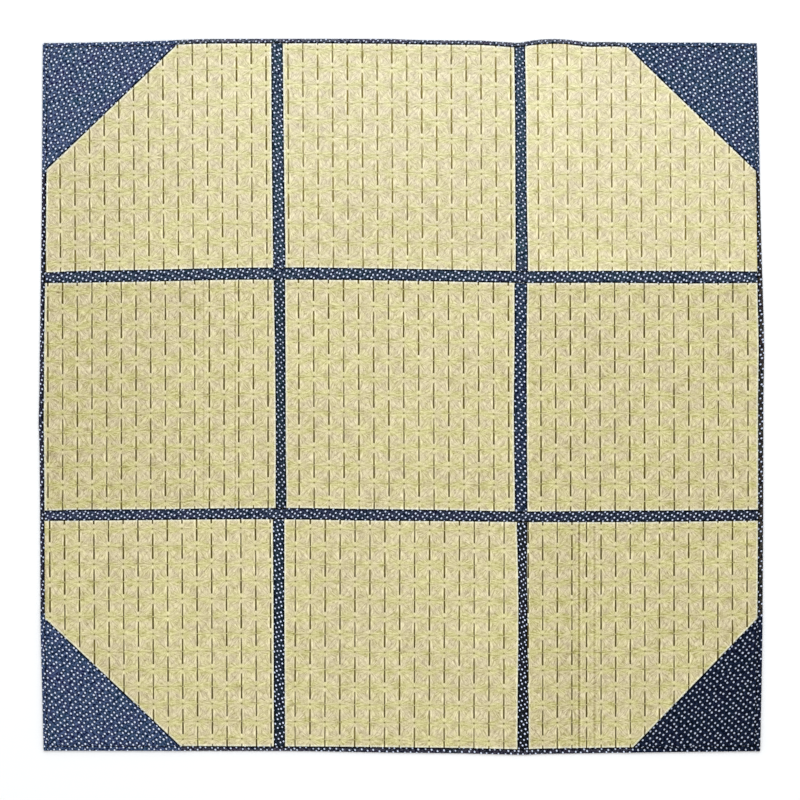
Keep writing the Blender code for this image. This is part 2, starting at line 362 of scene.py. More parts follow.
panelWeaves = {
    "back_left": Weave(7.4, -39.6, 36.88, 86.38, -0.0050, 0.0200, 0.20, -0.01, 0.08),
    "back_centre": Weave(19.2, 6.0, 37.12, 87.19, -0.0044, -0.0139, 0.45, 0.0),
    "back_right": Weave(0.9, 1.5, 36.75, 86.88, -0.0050, -0.0050, 0.43, 0.04),
    "middle_left": Weave(13.2, -2.3, 36.70, 88.13, -0.0006, 0.0139, 0.10, -0.03, 0.13),
    "middle_centre": Weave(8.8, 43.5, 37.47, 88.39, -0.0033, -0.0124, 0.15, 0.02),
    "middle_right": Weave(6.1, -41.3, 36.98, 88.06, -0.0024, 0.0011, 0.02, -0.03),
    "front_left": Weave(-17.2, -5.0, 36.75, 87.75, -0.0050, 0.0080, 0.05, 0.05, 0.08),
    "front_centre": Weave(-3.1, -2.7, 37.28, 87.62, 0.0019, -0.0106, 0.15, 0.05),
    "front_right": Weave(6.2, -41.3, 36.50, 87.50, 0.0, 0.0160, 0.05, -0.01),
}

rush = {
    "pitch": 37.0,
    "period": 87.8,
    "dashStart": 12.4,  # from the star
    "dashHalfWidth": 1.7,
    "dashWidening": 0.35,
    "paleNarrowing": 1.0,
    "dashUnevenness": 0.8,
    "dashBreak": 1.0,
    "grooveDepth": 1.0,
    "yarnRise": 0.4,
    "yarnHalfWidth": 1.2,
    "starRadius": 2.6,
    "starDepth": 0.6,
    "ribAt": 4.6,
    "ribHeight": 0.22,
    "ribHalfWidth": 2.6,
    "lineDepth": 0.35,
    "lineWidth": 3.4,
    "lensReach": 32.5,
    "lensHalfHeight": 15.8,
    "lensSlope": 0.485,
    "spotPitch": 8.8,
    "spotStart": 3.4,
    "spotDepth": 0.3,
    "spotHalfWidth": 2.6,
    "axisDepth": 0.25,
    "axisHalfWidth": 2.2,
    "swell": 0.18,
    "highest": 0.26,
    "besideColumn": (0.0, 1.2, 2.1, 4.6, 7.6, 12.2),  # grid lines on each side of a column
    "besideStars": (0.0, 1.3, 2.8, 6.2, 10.9, 12.8, 17.2),  # and of a row of stars
    "columnsApart": 40,
    "creaseShadeWidth": 72.0,
    "hiddenMargin": 3.0,
    "undersideStep": 3,
    "fitRounds": 4,
}

# Sharp folds across a panel: distance from its middle, depth, which also sets the painted shade in the
# fold and the painted highlight beside it, half width, and the painted shade on its left
Crease = namedtuple("Crease", "at depth halfWidth shade", defaults=[0.0])
panelCreases = {
    "middle_left": (Crease(108.7, 0.26, 3.2), Crease(188.0, 0.45, 3.2)),
    "front_right": (Crease(-158.2, 0.70, 4.0, 0.085), Crease(-119.6, 0.36, 4.6)),
}


def weaveRelief(u, v, weave):  # height of the rush's surface, in millimetres, over its plain top
    column = np.round(u)
    aside = np.abs(u - column) * weave.pitch
    along = np.abs((v - 0.5 * column) % 1.0 - 0.5) * weave.period  # from the break of a dash
    dashHalf = weave.period / 2 - rush["dashStart"]
    unbroken = 0.4 + 0.6 * smoothStep((along - 0.3) / 1.4)
    inDash = (1 - smoothStep((along - dashHalf + 0.9) / 1.8)) * unbroken
    groove = 1 - smoothStep((aside - rush["dashHalfWidth"] + 0.3) / 0.9)
    yarn = rush["yarnRise"] * bump(aside, rush["yarnHalfWidth"])
    height = -inDash * groove * (rush["grooveDepth"] - yarn)
    height += rush["ribHeight"] * inDash * bump(aside - rush["ribAt"], rush["ribHalfWidth"])
    row = np.round(2 * v)
    below = (2 * v - row) * weave.period / 2
    half = (u - row) / 2
    reach = np.abs(half - np.round(half)) * 2 * weave.pitch  # from the nearest star of the row
    height -= rush["starDepth"] * bump(np.hypot(reach, below), rush["starRadius"])
    cross = reach / weave.pitch + np.abs(below) * 2 / weave.period - 1
    spread = weave.pitch * 0.55
    line = bump(cross * spread, rush["lineWidth"] / 2)
    height -= rush["lineDepth"] * line * smoothStep((aside - 3) / 3)
    chain = np.abs(below) - (rush["lensHalfHeight"] - rush["lensSlope"] * reach)
    beads = 0.5 - 0.5 * np.cos(2 * math.pi * (reach - rush["spotStart"]) / rush["spotPitch"])
    height -= rush["spotDepth"] * beads * bump(chain, rush["spotHalfWidth"]) * smoothStep((reach - 4) / 3)
    axis = bump(below, rush["axisHalfWidth"]) * smoothStep((22 - reach) / 8)
    height -= rush["axisDepth"] * axis * smoothStep((reach - 3) / 3)
    swell = bump(chain + 8, 8) * smoothStep((rush["lensReach"] - reach) / 24)
    return np.minimum(height + rush["swell"] * swell, rush["highest"])


def addPanel(row, column, material):
    key = f"{row}_{column}"
    node = f"panel_{key}"
    weave = panelWeaves[key]
    sides = panelSides(node)
    low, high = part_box(node)
    middle = (low + high) / 2
    firstColumn = middle.x + weave.columnAt * mm
    firstStar = middle.y + weave.starAt * mm
    margin = rush["hiddenMargin"] * mm

    def columnLine(offset):
        return lambda y: firstColumn + offset * mm + weave.lean * (y - middle.y)

    def rowLine(offset):
        return lambda x: firstStar + offset * mm + weave.slope * (x - firstColumn)

    def spread(beside, step, toLow, toHigh):  # offsets of grid lines on both sides of each step
        near = sorted({-offset for offset in beside} | set(beside) | {step / 2})
        turns = range(math.floor(toLow / step) - 1, math.ceil(toHigh / step) + 2)
        return sorted({round(turn * step + offset, 3) for turn in turns for offset in near})

    def inside(line, first, last, corners):
        return all(first(at) + margin < line(at) < last(at) - margin for at in corners)

    wide = (high.x - low.x) / mm
    tall = (high.y - low.y) / mm
    creases = panelCreases.get(key, ())
    offsets = spread(rush["besideColumn"], weave.pitch, -wide / 2, wide / 2)
    for crease in creases:
        at = crease.at - weave.columnAt
        kept = [offset for offset in offsets if abs(offset - at) > 2 * crease.halfWidth + 0.8]
        offsets = sorted(kept + [at + turn * crease.halfWidth / 2 for turn in range(-4, 5)])
    columnLines = [columnLine(offset) for offset in offsets]
    columnLines = [
        line for line in columnLines if inside(line, sides.left, sides.right, (low.y, middle.y, high.y))
    ]
    across = [sides.left, *columnLines, sides.right]
    offsets = spread(rush["besideStars"], weave.period / 2, -tall / 2, tall / 2)
    rowLines = [rowLine(offset) for offset in offsets]
    rowLines = [
        line for line in rowLines if inside(line, sides.front, sides.back, (low.x, middle.x, high.x))
    ]
    up = [sides.front, *rowLines, sides.back]

    x = np.full((len(up), len(across)), middle.x)
    y = np.full((len(up), len(across)), middle.y)
    for _ in range(rush["fitRounds"]):
        for i, line in enumerate(across):
            x[:, i] = line(y[:, i])
        for j, line in enumerate(up):
            y[j, :] = line(x[j, :])
    z = rushUnderside(sides, x, y) + layers["rush"] * mm

    piece = startGrid(f"rush_{key}", len(across) - 1, len(up) - 1)
    columns, rows = gridPlaces(piece, len(across) - 1, len(up) - 1)
    x, y, z = x[rows, columns], y[rows, columns], z[rows, columns]
    writePoints(piece, np.stack([x, y, z], axis=1))
    applyModifier(piece, "SOLIDIFY", thickness=layers["rush"] * mm, offset=-1.0)

    points = readPoints(piece)
    count = len(x)
    u = (points[:, 0] - firstColumn - weave.lean * (points[:, 1] - middle.y)) / (weave.pitch * mm)
    star = firstStar + weave.slope * (points[:, 0] - firstColumn)
    v = (star - points[:, 1]) / (weave.period * mm)
    relief = weaveRelief(u[:count], v[:count], weave)
    fromMiddle = (points[:, 0] - middle.x) / mm
    # painted shade: the rush grows lighter by rise from the panel's left edge to its right, as if the
    # panel cupped a little
    tone = weave.tone + weave.rise * fromMiddle / wide
    crossing = np.zeros(len(points))
    for crease in creases:
        off = fromMiddle - crease.at
        flank = bump(np.abs(off) - 1.3 * crease.halfWidth, 0.7 * crease.halfWidth)
        # the fold lowers the rush, and in the material its depth darkens it as painted shade while the
        # flanks' negative share lightens it as painted highlight
        crossing += (bump(off, crease.halfWidth) - 0.4 * flank) * crease.depth
        # painted shade on the left of a fold
        tone -= crease.shade * np.clip(1 + off / rush["creaseShadeWidth"], 0, 1) * (off < 0)
    relief -= crossing[:count]
    points[:count, 2] += relief * mm
    writePoints(piece, points)
    apart = rush["columnsApart"] * list(panelWeaves).index(key)  # so that no two panels vary alike
    writeUv(piece, "weave", u + apart, v)
    writeValue(piece, "crease", crossing)
    writeValue(piece, "yarn", np.full(len(points), weave.yarn))
    writeValue(piece, "tone", tone)
    writeValue(piece, "lipGap", lipGap(row, column, points[:, 0], points[:, 1]) / mm)

    keptColumns = set(range(0, len(across), rush["undersideStep"])) | {len(across) - 1}
    keptRows = set(range(0, len(up), rush["undersideStep"])) | {len(up) - 1}
    thinUnderside(piece, count, columns, rows, keptColumns, keptRows)
    finishPiece(piece, material, node)
    return piece


def thinUnderside(piece, count, columns, rows, keptColumns, keptRows):
    # Dissolves most grid lines on the underside, where there is no relief
    mesh = piece.data
    ends = np.zeros(len(mesh.edges) * 2, dtype=np.int32)
    mesh.edges.foreach_get("vertices", ends)
    ends = ends.reshape(-1, 2)
    below = (ends >= count).all(axis=1) & (ends < 2 * count).all(axis=1)
    first = np.clip(ends[:, 0] - count, 0, count - 1)
    last = np.clip(ends[:, 1] - count, 0, count - 1)
    sameColumn = columns[first] == columns[last]
    dropped = np.where(
        sameColumn,
        ~np.isin(columns[first], list(keptColumns)),
        ~np.isin(rows[first], list(keptRows)),
    )
    selected = below & dropped
    mesh.vertices.foreach_set("select", np.zeros(len(mesh.vertices), dtype=bool))
    mesh.polygons.foreach_set("select", np.zeros(len(mesh.polygons), dtype=bool))
    mesh.edges.foreach_set("select", selected)
    bpy.context.view_layer.objects.active = piece
    bpy.context.tool_settings.mesh_select_mode = (False, True, False)
    bpy.ops.object.mode_set(mode="EDIT")
    bpy.ops.mesh.dissolve_edges(use_verts=True)
    bpy.ops.mesh.select_all(action="DESELECT")
    bpy.ops.object.mode_set(mode="OBJECT")


def lipGap(row, column, x, y):  # metres from the nearest edge of tape that lies over a panel
    gap = np.full(len(x), 1.0)
    sides = {
        "left": "edge_binding_left" if column == "left" else
        f"short_strip_{row}_{'left' if column == 'centre' else 'right'}",
        "right": "edge_binding_right" if column == "right" else
        f"short_strip_{row}_{'right' if column == 'centre' else 'left'}",
        "back": "edge_binding_back" if row == "back" else
        f"long_strip_{'back' if row == 'middle' else 'front'}",
        "front": "edge_binding_front" if row == "front" else
        f"long_strip_{'front' if row == 'middle' else 'back'}",
    }
    low = (layers["lipUnderside"] + 0.2) * mm
    for side, tape in sides.items():
        axis = 0 if side in ("left", "right") else 1
        line = frameLine(tape, axis, -outward[side], low)
        here, along = (x, y) if axis == 0 else (y, x)
        gap = np.minimum(gap, np.abs(line(along) - here))
    if row != "middle" and column != "centre":
        (x0, y0), (x1, y1) = slantEnds(f"corner_patch_{row}_{column}")
        long = math.hypot(x1 - x0, y1 - y0)
        gap = np.minimum(gap, np.abs((x - x0) * (y1 - y0) - (y - y0) * (x1 - x0)) / long)
    return gap


def slantEnds(node):  # the two ends of a corner patch's slanted edge
    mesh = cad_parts[node].data
    found = []
    for face in mesh.polygons:
        across = face.normal.x * face.normal.y
        if abs(across) > 0.35:
            found += [mesh.vertices[index].co for index in face.vertices]
    first = min(found, key=lambda point: point.x)
    last = max(found, key=lambda point: point.x)
    return (first.x, first.y), (last.x, last.y)


smoothAngle = 60.0


def finishPiece(piece, material, node):
    bpy.context.view_layer.objects.active = piece
    piece.select_set(True)
    bpy.ops.object.shade_smooth_by_angle(angle=math.radians(smoothAngle))
    piece.select_set(False)
    piece.data.materials.clear()
    piece.data.materials.append(material)
    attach(piece, "root")
    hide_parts(node)


rushLook = {
    "straw": (0.579, 0.502, 0.245, 1.0),
    "green": (0.564, 0.512, 0.201, 1.0),
    "pink": (0.601, 0.510, 0.291, 1.0),
    "cream": (0.80, 0.79, 0.60, 1.0),  # beside tape and patches
    "creamShare": 0.75,
    "dash": (0.066, 0.047, 0.003, 1.0),
    "paleDash": (0.20, 0.155, 0.035, 1.0),
    "starShare": 0.65,  # of the dash colour, in a star's pit
    "roughness": 0.8,
    "specular": 0.1,
    "coatRoughness": 0.38,
    "coatIor": 1.8,
    "bumpStrength": 0.5,
    "bumpDistance": 0.0012,
    "grainScale": 360.0,  # of noises, in each metre
    "tonesScale": 4.5,
    "unevenScale": 75.0,
    "streaksAcross": 0.42,  # and in each millimetre
    "streaksAlong": 0.05,
    "stalksAround": 9.0,
    "starsApart": (23.7, 35.3),  # so that no two stars' stalks are alike
    "shine": (0.58, 0.55, 0.38),  # colour of what lightens the rush or, less than none, shades it
    "stalks": 1.62,  # strengths of that
    "grain": 0.85,
    "streaks": 0.4,
    "tones": 0.12,
    "rib": 0.17,
    "crown": 0.10,
    "gleam": 0.07,
    "slant": 0.14,
    "spots": 0.19,
    "axis": 0.11,
    # strength of the painted shade in a fold and of the painted highlight beside it
    "crease": 0.8,
    # painted shade in the rush just beside tape and patches
    "paintedContactShade": 0.2,
}


def rushMaterial():
    look = Shader("woven rush")
    place = look.node("ShaderNodeTexCoord", {}, {}, "Object")
    u, v = look.split(look.node("ShaderNodeUVMap", {"uv_map": "weave"}, {}))

    # Distances in millimetres from the nearest column, and along it from the star above, in periods
    column = u.rounded()
    aside = abs(u - column) * rush["pitch"]
    turn = v - column * 0.5
    along = turn.fraction()
    dashTone = look.whiteNoise(look.join(column, turn - along))
    fromBreak = abs(along - 0.5) * rush["period"]
    dashHalf = rush["period"] / 2 - rush["dashStart"]
    inDash = fromBreak.rise(dashHalf + 0.6, dashHalf - 0.6)
    broken = fromBreak.rise(rush["dashBreak"] + 0.6, 0.2) * (0.6 + dashTone * 0.4)
    # pale dashes, which in the back row are partly a painted highlight of the sheen there
    yarn = look.attribute("yarn")
    wide = along * (2 * rush["dashWidening"]) + (rush["dashHalfWidth"] - rush["dashWidening"])
    wide = wide - yarn * rush["paleNarrowing"] + (dashTone - 0.5) * rush["dashUnevenness"]
    dash = inDash * (1.0 - broken) * (aside - wide).rise(0.5, -0.5)

    # Distances from the nearest star of the nearest row of stars
    row = (v * 2.0).rounded()
    below = abs(v * 2.0 - row) * (rush["period"] / 2)
    half = (u - row) * 0.5
    reach = abs(half - half.rounded()) * (2 * rush["pitch"])
    star = reach.length(below).rise(rush["starRadius"] + 0.3, rush["starRadius"] - 0.9)

    cross = reach / rush["pitch"] + below * (2 / rush["period"]) - 1.0
    slant = abs(cross).rise(0.15, 0.0) * aside.rise(3.0, 6.0)
    chain = below + reach * rush["lensSlope"] - rush["lensHalfHeight"]
    firstBead = rush["spotStart"] + rush["spotPitch"] / 4
    beads = ((reach - firstBead) * (2 * math.pi / rush["spotPitch"])).sine() * 0.5 + 0.5
    spots = abs(chain).rise(4.0, 0.4) * (beads * 0.7 + 0.3) * reach.rise(3.0, 6.0)
    axis = below.rise(3.4, 0.3) * reach.rise(34.0, 12.0)
    gleam = abs(below + reach * 0.17 - 5.6).rise(2.6, 0.4) * reach.rise(26.0, 8.0)
    rib = inDash * abs(aside - rush["ribAt"]).rise(2.2, 0.3) * (fromBreak.rise(1.0, 7.0) * 1.7 - 0.7)
    crown = reach.rise(6.0, 1.5) * abs(below - 8.4).rise(3.6, 0.8)

    # Stalks fan out from the star whose diamond this is, on all its sides. The other star is the one
    # across the slanted line, in the next column and the next row
    outside = cross.rise(-0.0001, 0.0001)
    toRight = (half - half.rounded()).rise(-0.0001, 0.0001) * 2.0 - 1.0
    toFront = (v * 2.0 - row).rise(-0.0001, 0.0001) * 2.0 - 1.0
    starX = toRight * (reach - outside * rush["pitch"])
    starY = toFront * (below - outside * (rush["period"] / 2))
    distance = starX.length(starY) + 0.01
    starColumn = half.rounded() * 2.0 + row + outside * toRight
    starRow = row + outside * toFront
    around = rushLook["stalksAround"]
    fan = look.join(
        starX / distance * around + starColumn * rushLook["starsApart"][0],
        starY / distance * around + starRow * rushLook["starsApart"][1],
        distance * 0.06,
    )
    stalks = look.noise(fan, 1.0, 1.0, 0.6)
    streakAcross = u * (rush["pitch"] * rushLook["streaksAcross"])
    streakAlong = v * (rush["period"] * rushLook["streaksAlong"])
    streaks = look.noise(look.join(streakAcross, streakAlong), 1.0, 2.0, 0.6)
    grain = look.noise(place, rushLook["grainScale"], 2.0, 0.6)
    blotches = look.noise(look.join(u * 1.0, v * 4.0), 1.0, 1.0, 0.5)
    tones = look.noise(place, rushLook["tonesScale"], 1.0, 0.5)
    uneven = look.noise(place, rushLook["unevenScale"], 1.0, 0.5).rise(0.36, 0.64) * 2.0

    lipGap = look.attribute("lipGap")
    light = (
        (stalks - 0.5) * rushLook["stalks"]
        + (grain - 0.5) * rushLook["grain"]
        + (streaks - 0.5) * rushLook["streaks"]
        + (tones - 0.5) * rushLook["tones"]
        + (rib * rushLook["rib"] + crown * rushLook["crown"] + gleam * rushLook["gleam"]) * uneven
        - slant * rushLook["slant"]
        - spots * rushLook["spots"]
        - axis * rushLook["axis"]
        # painted shade in the folds, with painted highlight on their flanks
        - look.attribute("crease") * rushLook["crease"]
        # each panel's tone, with the painted shade of a cupped panel and the painted shade left of a fold
        + look.attribute("tone")
        # painted shade in the rush just beside tape and patches
        - lipGap.rise(2.0, 0.4) * rushLook["paintedContactShade"]
    )
    rows = (1.0 - below * (4 / rush["period"])).rise(0.0, 1.0)
    greenness = rows * blotches.rise(0.36, 0.64) + (tones - 0.5) * 0.9
    pinkness = (1.0 - rows) * blotches.rise(0.62, 0.36) - (tones - 0.5) * 0.9
    colour = look.blend(greenness.rise(0.0, 0.9), rushLook["straw"], rushLook["green"])
    colour = look.blend(pinkness.rise(0.0, 0.9), colour, rushLook["pink"])
    colour = look.blend(lipGap.rise(5.5, 2.5) * rushLook["creamShare"], colour, rushLook["cream"])
    colour = look.added(colour, look.scaled(rushLook["shine"], light))
    pale = (blotches - 0.5) * 1.2 + (0.6 - along) * 0.5 + (dashTone - 0.5) * 0.7 + yarn
    dashColour = look.blend(pale.rise(0.0, 1.0), rushLook["dash"], rushLook["paleDash"])
    colour = look.blend(dash.most(star * rushLook["starShare"]), colour, dashColour)
    look.set("Base Color", colour)
    look.set("Roughness", rushLook["roughness"])
    look.set("Specular IOR Level", rushLook["specular"])
    look.set("Coat Weight", 1.0 - dash.most(star))
    look.set("Coat Roughness", rushLook["coatRoughness"])
    look.set("Coat IOR", rushLook["coatIor"])
    look.bump(stalks + grain * 0.6, rushLook["bumpStrength"], rushLook["bumpDistance"])
    return look.material


# Cotton tape and corner patches. A tube is a grid rolled up round a cross section

cotton = {
    "dotPitch": 11.9,
    "dotRadius": 2.25,
    "tapeFineness": 1.1,  # of the print on the tape, to that on the patches
    "dotSoftness": 0.7,
    "randomness": 0.40,
    "printTurn": 21.0,  # degrees between the rows of dots and the cut edge
    "printTurnStep": 7.0,  # and how much it changes from piece to piece
    "printShift": (137.0, 53.0),  # of the print, from piece to piece
    "bias": 0.1,  # by which tape is pulled askew
    "dot": (0.70, 0.77, 0.95),
    "mottle": 7.0,
    "mottleScale": 0.18,  # of noises, in each millimetre
    "fadeScale": 0.07,
    "hueScale": 0.022,
    "middleTone": 0.85,
    "darkestTone": 0.12,
    "fleck": (1.15, 1.05, 0.88),  # how far each colour follows the mottle
    "hue": (0.5, -0.25, 0.15),  # and the slow change from one place to the next
    "ring": 0.60,
    "edgeShade": 0.95,
    "roughness": 0.9,
    "specular": 0.05,
    "bumpStrength": 0.25,
    "bumpDistance": 0.0006,
    "weavePitch": 0.9,
    "alongStep": 8.0,
    "pucker": 0.12,
    "edgeRound": 0.45,
    "stitchAt": 2.6,
    "stitchDepth": 0.16,
    "web": 1.5,
    "stripUnfolded": 60.0,
    "stripHalfWidth": 14.5,
    "stripClosing": 14.0,  # from a section's last point back to its first
    "bindingUnfolded": 29.0,
    "bindingWidth": 12.0,
    "bindingClosing": 8.0,
    "longSeed": 11,
    "shortSeed": 21,
    "bindingSeed": 31,
    "patchSeed": 41,
}

# Dye of each piece with the light painted on it: the ground's colour, lighter towards the back left and
# darkest at the front right as a painted sheen beside the dye's own differences, a factor on the dots,
# and the share by which the ground gains from its left or front end to the other, a painted shade along
# the piece. A binding over a corner patch has the patch's dye and painted light
DyeAndPaintedLight = namedtuple("DyeAndPaintedLight", "ground dots drift", defaults=[0.0])

dyesAndPaintedLight = {
    "long_strip_back": DyeAndPaintedLight((0.032, 0.048, 0.080), 0.93),
    "long_strip_front": DyeAndPaintedLight((0.026, 0.035, 0.064), 0.93, -0.62),
    "short_strip_back_left": DyeAndPaintedLight((0.038, 0.061, 0.094), 0.91, 0.18),
    "short_strip_back_right": DyeAndPaintedLight((0.039, 0.066, 0.101), 0.80, 0.32),
    "short_strip_middle_left": DyeAndPaintedLight((0.019, 0.033, 0.048), 0.79, 0.40),
    "short_strip_middle_right": DyeAndPaintedLight((0.022, 0.037, 0.069), 0.92, 0.22),
    "short_strip_front_left": DyeAndPaintedLight((0.016, 0.026, 0.042), 1.10, 0.50),
    "short_strip_front_right": DyeAndPaintedLight((0.014, 0.016, 0.022), 1.09, 0.40),
    "edge_binding_left": DyeAndPaintedLight((0.029, 0.027, 0.046), 0.91),
    "edge_binding_right": DyeAndPaintedLight((0.034, 0.029, 0.026), 0.80, 0.40),
    "edge_binding_back": DyeAndPaintedLight((0.095, 0.099, 0.132), 0.78),
    "edge_binding_front": DyeAndPaintedLight((0.038, 0.038, 0.057), 0.89, -0.45),
    "corner_patch_back_left": DyeAndPaintedLight((0.056, 0.083, 0.161), 0.90),
    "corner_patch_back_right": DyeAndPaintedLight((0.038, 0.063, 0.121), 0.89),
    "corner_patch_front_left": DyeAndPaintedLight((0.042, 0.066, 0.141), 0.94),
    "corner_patch_front_right": DyeAndPaintedLight((0.007, 0.012, 0.030), 0.71),
}


def cottonMaterial():
    look = Shader("dotted cotton")
    cloth = look.node("ShaderNodeUVMap", {"uv_map": "cloth"}, {})  # millimetres along the cloth
    inputs = {"Vector": cloth, "Scale": 1 / cotton["dotPitch"], "Randomness": cotton["randomness"]}
    settings = {"voronoi_dimensions": "2D", "feature": "F1"}
    toDot = look.node("ShaderNodeTexVoronoi", settings, inputs, "Distance") * cotton["dotPitch"]
    mottle = look.noise(cloth, cotton["mottleScale"], 2.0, 0.6)
    faded = look.noise(cloth, cotton["fadeScale"], 1.0, 0.5)
    hue = look.noise(cloth, cotton["hueScale"], 1.0, 0.5)
    size = cotton["dotRadius"] + (faded - 0.5) * 1.6
    soft = cotton["dotSoftness"]
    dots = (toDot - size).rise(soft, -soft) * (faded * 1.2 + 0.5).least(1.0)
    ring = abs(toDot - cotton["dotRadius"] - 1.2).rise(1.8, 0.0)
    # painted shade along the rounded edges of tape and patches, which also dims the dots there
    edge = look.attribute("edgeGap").rise(5.0, 2.2)
    u, v = look.split(cloth)
    turn = 2 * math.pi / cotton["weavePitch"]
    threads = (u * turn).sine() * (v * turn).sine()
    light = ((mottle - 0.5) * cotton["mottle"] + cotton["middleTone"]).most(cotton["darkestTone"])
    # the ground's dye with the light painted on it, from the table of pieces
    dyeAndPaintedLight = look.attribute("ground", "Vector")
    flecks = look.scaled(look.tinted(dyeAndPaintedLight, cotton["fleck"]), light - 1.0)
    flecks = look.added(flecks, look.scaled(look.tinted(dyeAndPaintedLight, cotton["hue"]), hue - 0.5))
    shade = (1.0 - ring * cotton["ring"]) * (1.0 - edge * cotton["edgeShade"])
    ground = look.scaled(look.added(dyeAndPaintedLight, flecks), shade)
    dotTone = (mottle * 0.6 + 0.7) * look.attribute("dots") * (1.0 - edge * 0.3)
    dotColour = look.scaled(cotton["dot"], dotTone)
    look.set("Base Color", look.blend(dots, ground, dotColour))
    look.set("Roughness", cotton["roughness"])
    look.set("Specular IOR Level", cotton["specular"])
    look.bump(threads * 0.4 + mottle, cotton["bumpStrength"], cotton["bumpDistance"])
    return look.material


def writeDyeAndPaintedLight(piece, dyeAndPaintedLight, share, patched=()):
    # Share is how far along the piece each point lies, from 0 to 1. Patched has the weight of each
    # patch's dye and painted light at each point, as pairs of patch and weights
    count = len(share)
    ground = np.outer(1 + dyeAndPaintedLight.drift * (share - 0.5), dyeAndPaintedLight.ground)
    dots = np.full(count, dyeAndPaintedLight.dots)
    for node, weight in patched:
        ground += weight[:, None] * (np.array(dyesAndPaintedLight[node].ground) - ground)
        dots += weight * (dyesAndPaintedLight[node].dots - dots)
    attribute = piece.data.attributes.new("ground", "FLOAT_VECTOR", "POINT")
    attribute.data.foreach_set("vector", ground.astype(np.float32).ravel())
    writeValue(piece, "dots", dots)


def rollTube(name, sections):  # sections: an array of sections by points of x, y and z
    along, around = sections.shape[0] - 1, sections.shape[1]
    piece = startGrid(name, around, along)
    columns, rows = gridPlaces(piece, around, along)
    writePoints(piece, sections[rows, columns % around])
    return piece, columns, rows


def closeTube(piece):
    bpy.context.view_layer.objects.active = piece
    bpy.context.tool_settings.mesh_select_mode = (True, False, False)
    bpy.ops.object.mode_set(mode="EDIT")
    bpy.ops.mesh.select_all(action="SELECT")
    bpy.ops.mesh.remove_doubles(threshold=0.00001)
    bpy.ops.mesh.select_all(action="DESELECT")
    bpy.ops.mesh.select_non_manifold()
    bpy.ops.mesh.fill_holes(sides=0)
    bpy.ops.mesh.select_all(action="SELECT")
    bpy.ops.mesh.normals_make_consistent(inside=False)
    bpy.ops.mesh.select_all(action="DESELECT")
    bpy.ops.object.mode_set(mode="OBJECT")


def tapeProfile(halfWidth, web):
    # Right half of a joining strip's section, from the middle of its underside, as rows of
    # distance aside and height. Then the left half, mirrored
    edge = cotton["edgeRound"]
    thick = layers["tape"]
    under = layers["lipUnderside"]
    top = layers["lipTop"]
    stitch = cotton["stitchAt"]
    dip = cotton["stitchDepth"]
    half = [
        (0.0, 0.0),
        (halfWidth - stitch, 0.0),
        (halfWidth - edge, 0.0),
        (halfWidth, edge),
        (halfWidth, thick - 0.3),
        (halfWidth - 0.3, thick),
        (web, thick),
        (web, under),
        (halfWidth - 0.3, under),
        (halfWidth, under + 0.25),
        (halfWidth, top - edge - 0.05),
        (halfWidth - 0.2, top - 0.16),
        (halfWidth - 0.75, top - 0.02),
        (halfWidth - stitch + 0.7, top),
        (halfWidth - stitch, top - dip),
        (halfWidth - stitch - 0.7, top),
        (halfWidth * 0.62, top),
        (halfWidth * 0.3, top),
        (0.0, top),
    ]
    left = [(-aside, height) for aside, height in reversed(half[1:-1])]
    return half + left


def unrolled(profile):  # distance round a section up to each of its points
    steps = [0.0]
    for first, last in zip(profile, profile[1:]):
        steps.append(steps[-1] + math.hypot(last[0] - first[0], last[1] - first[1]))
    return steps


def clothUv(piece, along, aside, seed, bias, fineness=1.0):
    # Lays the print on the cloth in millimetres, at a place of its own, turned and pulled on the bias
    turn = math.radians(cotton["printTurn"] + cotton["printTurnStep"] * (seed % 5))
    pulledAlong = along + bias * aside + cotton["printShift"][0] * seed
    pulledAside = aside + bias * along + cotton["printShift"][1] * seed
    u = pulledAlong * math.cos(turn) + pulledAside * math.sin(turn)
    v = pulledAside * math.cos(turn) - pulledAlong * math.sin(turn)
    writeUv(piece, "cloth", u * fineness, v * fineness)


